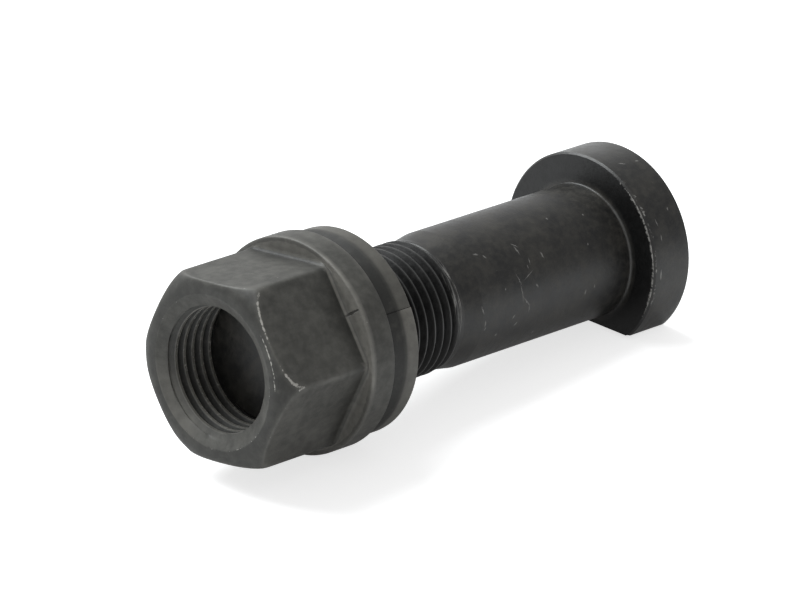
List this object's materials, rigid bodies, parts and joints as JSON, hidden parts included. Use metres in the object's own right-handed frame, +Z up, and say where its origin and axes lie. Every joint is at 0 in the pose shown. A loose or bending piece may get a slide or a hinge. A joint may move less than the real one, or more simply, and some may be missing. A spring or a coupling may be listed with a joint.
{
  "type": "wheel bolt",
  "caption": "Wheel stud with a D-shaped head, carrying a collar nut on its fine thread and a split spring ring behind the nut's collar; it clamps a wheel to a hub.",
  "frame": {"origin": "centre of the object's box on the floor that it lies on", "axes": "+X along the length from the nut to the head, +Z up, the bolt's own axis tilted down to the head by 5.141 degrees"},
  "size_m": [0.0782, 0.029, 0.0292],
  "materials": {
    "black_oxide": "satin black oxide on turned steel, scratched",
    "grey_phosphate": "matt dark grey phosphate on forged steel, worn at the edges",
    "ring_phosphate": "matt dark grey phosphate on spring steel"
  },
  "bodies": {
    "stud": {"wheel_stud": "black_oxide"},
    "ring": {"spring_ring": "ring_phosphate"},
    "nut": {"wheel_nut": "grey_phosphate"}
  },
  "joints": [
    {"name": "ring_travel", "type": "slide", "parent": "stud", "child": "ring", "axis": [0.996, 0, -0.0896], "range_m": [-0.00976, 0.01651]},
    {"name": "nut_turn", "type": "hinge", "parent": "ring", "child": "nut", "pos_m": [-0.03012, 0, 0.01535], "axis": [0.996, 0, -0.0896], "range_deg": [-2340, 3960]}
  ],
  "couplings": [
    {"joint": "ring_travel", "follows": "nut_turn", "m_per_rad": 0.00023873}
  ]
}
